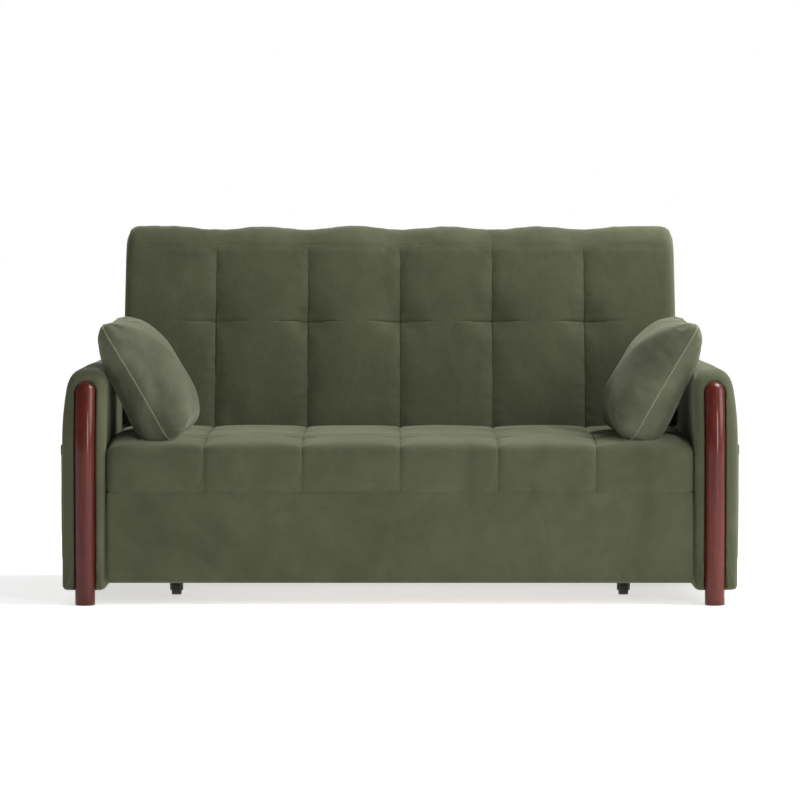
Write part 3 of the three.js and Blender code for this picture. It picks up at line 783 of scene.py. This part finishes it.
def back_place(p, t):
    """Carries the upright section to where the backrest leans."""
    inward = smooth(NOTCH_TOP + 0.016, NOTCH_TOP - 0.004, p[..., 1])
    span = SEAT_HALF - NOTCH_X
    squeeze = smooth(SEAT_HALF - 0.16, SEAT_HALF, np.abs(t)) * span
    x = t * (1 - TAPER * smooth(0.3, BACK_TOP, p[..., 1])) - np.sign(t) * squeeze * inward
    m = np.array(TO_BACK)
    local = np.stack([x, p[..., 0], p[..., 1]], -1)
    return local @ m[:3, :3].T + m[:3, 3]


back = extruded(
    "backrest_cover",
    back_loop,
    lines(0, back_loop.length, 0.0085, [tuft_row, top_seam, rear_top, rear_base]),
    lines(-SEAT_HALF, SEAT_HALF, 0.009, SEAMS, SEAM_OFFSETS),
    back_inset,
    back_place,
    back_push,
    VELVET,
    cap_bulge=0.0015,
    cap_rings=8,
    sewn=back_sewn,
)
swell(back, pressure=4.0, cap=0.0019)
piece(back, "backrest", "velvet", "back_cushion", "back_rear_panel", fill=0.8)

# ---- arms ----
arm_low, arm_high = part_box("arm_cover_r")
ARM_INNER, ARM_OUTER = arm_low[0], arm_high[0]
ARM_BASE, ARM_TOP = arm_low[2], arm_high[2]
ARM_FRONT, ARM_BACK = arm_low[1], arm_high[1]
ARM_DEPTH = ARM_BACK - ARM_FRONT
post_low, post_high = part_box("arm_post_r")
POST_RADIUS = (post_high[0] - post_low[0]) / 2
POST_X = (post_high[0] + post_low[0]) / 2
POST_Y = post_low[1] + POST_RADIUS
POST_TOP = post_high[2]
LEAN_START, LEAN_END, LEAN = 0.370, 0.540, 0.035


def lean_at(z):
    return LEAN * np.maximum(0, (z - LEAN_START) / (LEAN_END - LEAN_START)) ** 2


SHOULDER, SHOULDER_BEND, SHOULDER_END = 0.548, 0.048, 0.085


def front_at(z):
    """Y of an arm's front at height z: upright, curving back, then turning over into the top."""
    upright = ARM_FRONT + lean_at(np.minimum(z, SHOULDER))
    rise = np.clip((z - SHOULDER) / (ARM_TOP - SHOULDER), 0, 1)
    u = 1 - np.sqrt(1 - rise)
    y0, y1, y2 = ARM_FRONT + lean_at(SHOULDER), ARM_FRONT + SHOULDER_BEND, ARM_FRONT + SHOULDER_END
    turned = (1 - u) ** 2 * y0 + 2 * (1 - u) * u * y1 + u * u * y2
    return np.where(z > SHOULDER, turned, upright)


def bezier(p0, p1, p2, p3, steps=18):
    u = np.linspace(0, 1, steps, endpoint=False)[:, None]
    p0, p1, p2, p3 = (np.array(p) for p in (p0, p1, p2, p3))
    return (1 - u) ** 3 * p0 + 3 * (1 - u) ** 2 * u * p1 + 3 * (1 - u) * u * u * p2 + u**3 * p3


ARM_CORNER = 0.012
RIDGE = (ARM_OUTER - 0.058, ARM_TOP)  # where the inner and the outer curve of the top meet
OUTER_BEND = (ARM_OUTER - 0.009, 0.530)
INNER_CURVE = bezier((ARM_INNER, 0.535), (ARM_INNER, 0.566), (ARM_INNER + 0.020, ARM_TOP), RIDGE)


def arm_corner(x, sign):
    """The round lower corner of an arm's section, at its inner (sign 1) or outer side (sign -1)."""
    angles = np.linspace(0, math.pi / 2, 6)[::sign * -1]
    across, down = np.cos(angles), np.sin(angles)
    r = ARM_CORNER
    return np.stack([x + sign * (r - r * across), ARM_BASE + r - r * down], -1)


def arm_outline():
    outer = ARM_OUTER
    over = bezier(RIDGE, (outer - 0.030, ARM_TOP), (outer - 0.015, 0.562), OUTER_BEND)
    down = bezier(OUTER_BEND, (outer - 0.004, 0.500), (outer, 0.450), (outer, 0.390))
    return np.vstack([arm_corner(ARM_INNER, 1), INNER_CURVE, over, down, arm_corner(outer, -1)])


arm_loop = Loop(arm_outline())
arm_soft = waves(41, 0.07, 0.4)
ARM_FRONT_ROUND = 0.024
ARM_REAR_ROUND = 0.012
PIPE_AT, PIPE_DEPTH, PIPE_WIDTH = 0.024, 0.0014, 0.0035  # the seam round the front edge


def arm_inset(s, t):
    front = np.clip((ARM_FRONT_ROUND - t) / ARM_FRONT_ROUND, 0, 1)
    rear = np.clip((t - (ARM_DEPTH - ARM_REAR_ROUND)) / ARM_REAR_ROUND, 0, 1)
    foot = 0.36 + 0.64 * smooth(ARM_BASE + 0.004, ARM_BASE + 0.045, arm_loop.point(s)[..., 1])
    rounds = ARM_FRONT_ROUND * rounding(front) * foot + ARM_REAR_ROUND * rounding(rear)
    return rounds + PIPE_DEPTH * bell(t - PIPE_AT, PIPE_WIDTH)


def arm_push(s, t):
    p = arm_loop.point(s)
    outside = smooth(ARM_OUTER - 0.03, ARM_OUTER - 0.005, p[..., 0])
    v = np.clip((p[..., 1] - 0.25) / 0.24, -1, 1)
    along = np.clip(1 - np.abs(t / ARM_DEPTH * 2 - 1) ** 4, 0, 1)
    top = smooth(0.50, 0.57, p[..., 1])
    base = smooth(ARM_BASE, ARM_BASE + 0.04, p[..., 1])
    h = 0.003 * outside * (1 - v**4) * along + 0.002 * top * along
    return h + 0.0009 * arm_soft(t, s) * base * smooth(0, 0.05, t)


def arm_place(side):
    def place(p, t):
        x, z = p[..., 0], p[..., 1]
        share = np.clip(t / ARM_DEPTH, None, 1)
        y = front_at(z) * (1 - share) + ARM_BACK * share
        y = np.where(t > ARM_DEPTH, ARM_BACK + t - ARM_DEPTH, y)
        return np.stack([side * x, y, z], -1)

    return place


def arm_body(name, side, place):
    at_t = lines(0, ARM_DEPTH, 0.012, [0, 0.024], (0.0008, 0.002, 0.004, 0.007, 0.011))
    at_s = lines(0, arm_loop.length, 0.009)
    return extruded(
        name, arm_loop, at_s, at_t, arm_inset, place, arm_push, VELVET, cap_bulge=0.002, cap_rings=9
    )


HEAD_RINGS = 9
HEAD_LEAN = 0.35  # how much of the lean the round head follows


def post_path(z):
    return np.stack([np.full_like(z, POST_X), POST_Y + lean_at(z), z], -1)


def post_object(name, side, radius, bottom, material, sides=40, rows=46):
    """A round post that follows an arm's front, with a chamfered foot and a round head."""
    end = POST_TOP - radius
    shaft = np.linspace(bottom + 0.02, end, rows)
    heights = np.concatenate([[bottom, bottom, bottom + 0.002], shaft])
    radii = np.concatenate([[radius - 0.012, radius - 0.002, radius], np.full(rows, radius)])
    angle = np.linspace(0, 2 * math.pi, sides, endpoint=False)
    rings = []
    for z, r in zip(heights, radii):
        centre = post_path(np.array([z]))[0]
        rings.append(centre + np.stack([r * np.cos(angle), r * np.sin(angle), 0 * angle], -1))
    top = post_path(np.array([end]))[0]
    tilt = math.atan2(2 * LEAN * (end - LEAN_START), (LEAN_END - LEAN_START) ** 2)
    for k in range(1, HEAD_RINGS):
        a = k / HEAD_RINGS * math.pi / 2
        r, rise = radius * math.cos(a), radius * math.sin(a)
        shift = rise * math.sin(tilt) * HEAD_LEAN
        ring = [r * np.cos(angle), r * np.sin(angle) + shift, rise + 0 * angle]
        rings.append(top + np.stack(ring, -1))
    tip = top + [0, radius * math.sin(tilt) * HEAD_LEAN, radius]
    points = np.vstack(rings + [tip] + [[[POST_X, POST_Y, bottom]]])
    n = len(rings)
    index = np.arange(n * sides).reshape(n, sides)
    faces = []
    for i in range(n - 1):
        faces += wall(index[i], index[i + 1])
    faces += fan(index[-1], n * sides)
    faces += [(b, a, n * sides + 1) for a, b in zip(index[0], np.roll(index[0], -1))]
    points = points * np.array([side, 1, 1])
    return mesh_object(name, points, faces, material)


GROOVE_GAP = 0.003


def cut_groove(arm, side):
    """Cuts the groove that the post stands in."""
    cutter = post_object("groove", side, POST_RADIUS + GROOVE_GAP, -0.05, VELVET)
    cut = arm.modifiers.new("groove", "BOOLEAN")
    cut.operation, cut.object, cut.solver = "DIFFERENCE", cutter, "MANIFOLD"
    bpy.context.view_layer.update()
    graph = bpy.context.evaluated_depsgraph_get()
    arm.data = bpy.data.meshes.new_from_object(arm.evaluated_get(graph))
    arm.modifiers.clear()
    bpy.data.objects.remove(cutter)


POCKET_LOW, POCKET_HIGH = (np.array(corner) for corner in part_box("side_pocket_r"))
POCKET_CLOTH = 0.0022
POCKET_CORNER = 0.018
POCKET_GAP, POCKET_BELLY = 0.0024, 0.0058  # how far it stands off the arm: at the edges, and more
HEM = 0.93  # height of the hem's lower edge, as a share of the pocket
EDGE = 0.02  # the share of the pocket over which its sewn edges turn in
POCKET_SOFT = waves(51, 0.05, 0.2)
POCKET_CREASE = waves(52, 0.012, 0.04)


def pocket_outer(y, z):
    """How far from the middle plane a pocket's outer face lies."""
    (x0, y0, z0), (_, y1, z1) = POCKET_LOW, POCKET_HIGH
    u, v = (y - y0) / (y1 - y0) * 2 - 1, (z - z0) / (z1 - z0)
    belly = np.clip(1 - np.abs(u) ** 5, 0, 1) * np.clip(1 - (1 - v) ** 9, 0, 1)
    outer = x0 + POCKET_GAP + POCKET_BELLY * belly + 0.0007 * POCKET_SOFT(y, z) * belly
    edge = bell((np.abs(u) - 0.94) * 0.15, 0.004) + bell((v - 0.045) * 0.29, 0.004)
    outer += 0.0004 * POCKET_CREASE(y, z) * edge - 0.0004 * edge
    outer += 0.0012 * smooth(HEM - 0.005, HEM + 0.005, v) - 0.0008 * bell(v - HEM + 0.005, 0.006)
    edge_u = np.clip((np.abs(u) - (1 - EDGE)) / EDGE, 0, 1)
    edge_v = np.clip((EDGE - v) / EDGE, 0, 1)
    return outer - POCKET_CLOTH * np.maximum(edge_u, edge_v) ** 2


def pocket_object(name, side):
    """A sheet of cloth with two faces, sewn to the arm at its sides and foot."""
    (x0, y0, z0), (_, y1, z1) = POCKET_LOW, POCKET_HIGH
    y, z = np.meshgrid(lines(y0, y1, 0.006), lines(z0, z1, 0.006))
    outer = pocket_outer(y, z)
    inner = outer - np.maximum(np.minimum(POCKET_CLOTH, outer - x0), 0.0002)
    corner = np.clip((z0 + POCKET_CORNER - z) / POCKET_CORNER, 0, 1)
    across = (y - y0) / (y1 - y0) * 2 - 1
    y = y - across * POCKET_CORNER * rounding(corner)
    front = np.stack([side * outer, y, z], -1).reshape(-1, 3)
    back = np.stack([side * inner, y, z], -1).reshape(-1, 3)
    rows, columns = y.shape
    index = np.arange(rows * columns).reshape(rows, columns)
    quads = grid_quads(index)
    rim = np.concatenate([index[0], index[1:, -1], index[-1, -2::-1], index[-2:0:-1, 0]])
    n = rows * columns
    faces = [*quads, *(quads[:, ::-1] + n)]
    faces += [(b, a, a + n, b + n) for a, b in zip(rim, np.roll(rim, -1))]
    return mesh_object(name, np.vstack([front, back]), faces, VELVET)


STITCH_SIDES = 6
STITCH_RINGS = ((0, 0.35, 0), (0.25, 1, 0.6), (0.75, 1, 0.6), (1, 0.35, 0))  # place, size, lift


def stitches(name, paths, outwards, pitch=0.0046, length=0.0034, radius=0.0005):
    """Rows of short thread stitches that lie along each path of points."""
    out = np.array(outwards)
    angle = np.linspace(0, 2 * math.pi, STITCH_SIDES, endpoint=False)[:, None]
    rings = []
    for path in paths:
        at = np.concatenate([[0], np.cumsum(np.linalg.norm(np.diff(path, axis=0), axis=1))])
        for start in np.arange(pitch / 2, at[-1] - length, pitch):
            here, there = (
                np.array([np.interp(v, at, path[:, i]) for i in range(3)])
                for v in (start, start + length)
            )
            along = (there - here) / np.linalg.norm(there - here)
            sideways = np.cross(along, out)
            for share, size, lift in STITCH_RINGS:
                centre = here + (there - here) * share + out * lift * radius
                round_thread = np.cos(angle) * sideways + np.sin(angle) * out
                rings.append(centre + size * radius * round_thread)
    index = np.arange(len(rings) * STITCH_SIDES).reshape(-1, len(STITCH_RINGS), STITCH_SIDES)
    faces = []
    for stitch in index:
        for a, b in zip(stitch, stitch[1:]):
            faces += wall(a, b)
        faces += [tuple(stitch[0]), tuple(stitch[-1][::-1])]
    return mesh_object(name, np.vstack(rings), faces, THREAD)


def pocket_seams(side, margin=0.005):
    """The paths of the stitching: one round the sewn edges and one under the hem."""
    y0, y1 = POCKET_LOW[1] + margin, POCKET_HIGH[1] - margin
    z0, z1 = POCKET_LOW[2] + margin, POCKET_HIGH[2]
    hem = z0 - margin + HEM * (z1 - z0 + margin) + 0.003
    above, corner = z1 + 0.1, 0.014
    outline = [(y0, z0, corner), (y0, above, 0.002), (y1, above, 0.002), (y1, z0, corner)]
    ring = Loop(rounded_loop(outline))
    edges = ring.point(np.linspace(ring.nearest(y1, z1), ring.nearest(y0, z1) + ring.length, 300))
    level = np.stack([np.linspace(y0 + 0.004, y1 - 0.004, 120), np.full(120, hem)], -1)
    paths = []
    for path in (edges, level):
        y, z = path.T
        paths.append(np.stack([side * pocket_outer(y, z), y, z], -1))
    return paths


for label, side in SIDES.items():
    arm = arm_body(f"arm_{label}_cover", side, arm_place(side))
    cut_groove(arm, side)
    piece(arm, "arm_base", "velvet", f"arm_cover_{label}", fill=0.6)
    post = post_object(f"post_{label}", side, POST_RADIUS, 0.0, POST_WOOD)
    piece(post, "arm_base", "post_wood", f"arm_post_{label}")
    pocket = pocket_object(f"pocket_{label}", side)
    piece(pocket, "arm_base", "velvet", f"side_pocket_{label}")
    seams = stitches(f"pocket_stitches_{label}", pocket_seams(side), (side, 0, 0))
    piece(seams, "arm_base", "velvet")


# ---- pillows ----
PILLOW_LENGTH, PILLOW_WIDTH = 0.344, 0.346
PILLOW_OPEN, PILLOW_ARM = 0.093, 0.071  # thickness of the side that shows and of the arm's side
PILLOW_PLACE = {"x": 0.638, "y": -0.180, "z": 0.547, "tilt": math.radians(31), "turn": 0.08}
PILLOW_GRID = 49
PILLOW_PULL = 0.05  # how far the middle of each edge is drawn in
PIPING_RADIUS = 0.0021
CORNER_POWER = 9  # the higher, the squarer a pillow's corners


def pillow_outline(u, v):
    """Carries a square grid of side 2, ring by ring, to a square with round corners."""
    power = CORNER_POWER
    big = np.maximum(np.maximum(np.abs(u), np.abs(v)), 1e-9)
    total = (np.abs(u) / big) ** power + (np.abs(v) / big) ** power
    round_off = np.maximum(total, 1) ** (-1 / power)
    return u * round_off, v * round_off


PILLOW_PUCKER = waves(61, 0.014, 0.05, dimensions=3)
PILLOW_SOFT = waves(62, 0.08, 0.3, dimensions=3)


def pillow_side(u, v, thickness, head, foot, skew):
    """Thickness of one side. Head and foot are low where its top and bottom are boxy, and skew
    makes it fuller towards the bottom."""
    ring = np.clip(1 - np.maximum(np.abs(u), np.abs(v)), 0, 1)
    power = foot + (head - foot) * smooth(-1, 1, v)
    full = (1 - (1 - ring) ** 2) ** power * (1 - skew * v)
    place = u * PILLOW_WIDTH / 2, v * PILLOW_LENGTH / 2, thickness
    folds = 0.0016 * PILLOW_PUCKER(*place) * bell(ring - 0.10, 0.10) * smooth(0, 0.06, ring)
    folds += 0.0022 * PILLOW_SOFT(*place) * smooth(0, 0.25, ring)
    return thickness * full + np.sign(thickness) * folds


def pillow_points(count):
    """Two stuffed sheets joined at their rims: returns (points, faces, rim order)."""
    even = np.linspace(-1, 1, count)
    grid = even * (1.3 - 0.3 * even**2)
    u, v = np.meshgrid(grid, grid)
    flat_u, flat_v = pillow_outline(u, v)
    y = flat_u * (1 - PILLOW_PULL * (1 - flat_v**2)) * PILLOW_WIDTH / 2
    z = flat_v * (1 - PILLOW_PULL * (1 - flat_u**2)) * PILLOW_LENGTH / 2
    index = np.arange(count * count).reshape(count, count)
    rim = np.concatenate([index[0, :-1], index[:-1, -1], index[-1, :0:-1], index[:0:-1, 0]])
    other = index + count * count
    other.reshape(-1)[rim] = rim
    open_side = pillow_side(u, v, PILLOW_OPEN, head=0.62, foot=0.41, skew=0.02)
    arm_side = pillow_side(u, v, -PILLOW_ARM, head=0.62, foot=0.17, skew=0.14)
    points = np.vstack([np.stack([x, y, z], -1).reshape(-1, 3) for x in (open_side, arm_side)])
    faces = np.vstack([grid_quads(index), grid_quads(other)[:, ::-1]])
    used = np.unique(faces)
    renumber = np.zeros(len(points), int)
    renumber[used] = np.arange(len(used))
    return points[used], renumber[faces], renumber[rim]


def tube(name, path, radius, material, sides=8):
    """A round cord along a closed path of points."""
    ahead = np.roll(path, -1, 0) - np.roll(path, 1, 0)
    ahead /= np.linalg.norm(ahead, axis=1, keepdims=True)
    up = np.array([1.0, 0, 0])
    right = np.cross(ahead, up)
    right /= np.linalg.norm(right, axis=1, keepdims=True)
    above = np.cross(right, ahead)
    angle = np.linspace(0, 2 * math.pi, sides, endpoint=False)
    cos, sin = np.cos(angle)[None, :, None], np.sin(angle)[None, :, None]
    rings = path[:, None] + radius * (cos * right[:, None] + sin * above[:, None])
    n = len(path)
    index = np.arange(n * sides).reshape(n, sides)
    faces = []
    for i in range(n):
        faces += wall(index[i], index[(i + 1) % n])
    return mesh_object(name, rings.reshape(-1, 3), faces, material)


plump, pillow_faces, pillow_rim = pillow_points(PILLOW_GRID)
blank = mesh_object("pillow_blank", plump, pillow_faces, VELVET)
sew(blank, pillow_rim)
swell(blank, pressure=3.0, cap=0.004, slack=0.02)
swollen = coordinates(blank.data)
bpy.data.objects.remove(blank)

ARM_TOUCH = 0.0015  # the gap left between a pillow and the arm it leans on
SEAT_CROWN = 0.002  # how far the seat stands above its corners under a pillow


def settled(points, side):
    """Flattens a pillow where it leans on the arm beside it and where it rests on the seat."""
    slope = np.clip((SEAT_FRONT + EDGE_RUN - points[:, 1]) / EDGE_RUN, 0, 1)
    points[:, 2] = np.maximum(points[:, 2], SEAT_TOP + SEAT_CROWN - EDGE_DROP * slope)
    reach = np.interp(points[:, 2], INNER_CURVE[:, 1], INNER_CURVE[:, 0]) - ARM_TOUCH
    beside = points[:, 2] < ARM_TOP
    outward = side * points[:, 0]
    points[:, 0] = side * np.where(beside, np.minimum(outward, reach), outward)
    return points


for label, side in SIDES.items():
    spot = Matrix.Translation((side * PILLOW_PLACE["x"], PILLOW_PLACE["y"], PILLOW_PLACE["z"]))
    spot = spot @ Matrix.Rotation(side * PILLOW_PLACE["tilt"], 4, "Y")
    spot = spot @ Matrix.Rotation(side * PILLOW_PLACE["turn"], 4, "Z")
    spot = spot @ Matrix.Scale(-side, 4, (1, 0, 0))
    m = np.array(spot)
    placed = settled(swollen @ m[:3, :3].T + m[:3, 3], side)
    pillow = mesh_object(f"throw_pillow_{label}", placed, pillow_faces, LIGHTENED_PILLOW_VELVET)
    finer = pillow.modifiers.new("finer", "SUBSURF")
    finer.levels = finer.render_levels = 1
    body = f"loose_pillow_{SIDE_WORD[label]}"
    piece(pillow, body, "velvet", f"pillow_{label}", fill=0.8)
    graph = bpy.context.evaluated_depsgraph_get()
    drawn_rim = coordinates(pillow.evaluated_get(graph).to_mesh())[pillow_rim]
    cord = tube(f"pillow_piping_{label}", drawn_rim, PIPING_RADIUS, PIPING)
    piece(cord, body, "velvet")

# ---- studio ----
FLOOR_HALF = 90
square = ((-1, -1), (1, -1), (1, 1), (-1, 1))
floor_corners = [(x * FLOOR_HALF, y * FLOOR_HALF, 0) for x, y in square]
floor = mesh_object("floor", floor_corners, [(0, 1, 2, 3)], VELVET)
floor_look = Nodes("floor")
mottle = floor_look.ramp(floor_look.noise(1.5), (0.86, 0.86, 0.86), (0.9, 0.9, 0.9))
floor_look.set("Base Color", mottle)
floor_look.set("Roughness", 0.9)
# Painted light: the floor glows with strength 0.6 within 1.2 m of the middle, rising to 0.86 beyond
# 6 m. This makes the far floor show white and lightens the shade under the sofa.
floor_look.set("Emission Color", (1, 1, 1, 1))
distance = floor_look.node(
    "ShaderNodeVectorMath", {0: floor_look.coordinates}, operation="LENGTH"
).outputs["Value"]
floor_look.set("Emission Strength", floor_look.map(distance, 0.6, 0.86, start=1.2, end=6.0))
floor.data.materials[0] = floor_look.material

AMBIENT = 0.18  # the surroundings light the scene with this, and the camera sees them white
world = bpy.data.worlds.new("studio")
scene.world = world
world.use_nodes = True
backdrop = world.node_tree.nodes["Background"]
backdrop.inputs["Color"].default_value = (1, 1, 1, 1)
seen = world.node_tree.nodes.new("ShaderNodeMapRange")
seen.inputs["To Min"].default_value, seen.inputs["To Max"].default_value = AMBIENT, 1.0
rays = world.node_tree.nodes.new("ShaderNodeLightPath")
world.node_tree.links.new(rays.outputs["Is Camera Ray"], seen.inputs["Value"])
world.node_tree.links.new(seen.outputs[0], backdrop.inputs["Strength"])


def area_light(name, place, aim, size, power):
    """A soft box of size in metres and power in watts, turned to aim."""
    light = bpy.data.objects.new(name, bpy.data.lights.new(name, "AREA"))
    light.data.shape = "RECTANGLE"
    light.data.size, light.data.size_y = size
    light.data.energy = power
    light.location = place
    light.rotation_euler = (Vector(aim) - Vector(place)).to_track_quat("-Z", "Y").to_euler()
    scene.collection.objects.link(light)


area_light("side", (9.0, -2.3, 4.1), (0, -0.2, 0.5), (6.2, 5.6), 600)
area_light("top", (1.8, 0.1, 3.2), (0, 0, 0.3), (2.0, 1.4), 140)
area_light("strip", (2.3, -4.2, 1.3), (0, -0.4, 0.5), (0.5, 1.9), 74)
area_light("rear", (-2.6, 5.2, 3.2), (0, 0.2, 0.4), (3.0, 2.4), 90)
scene.view_settings.view_transform = "Standard"
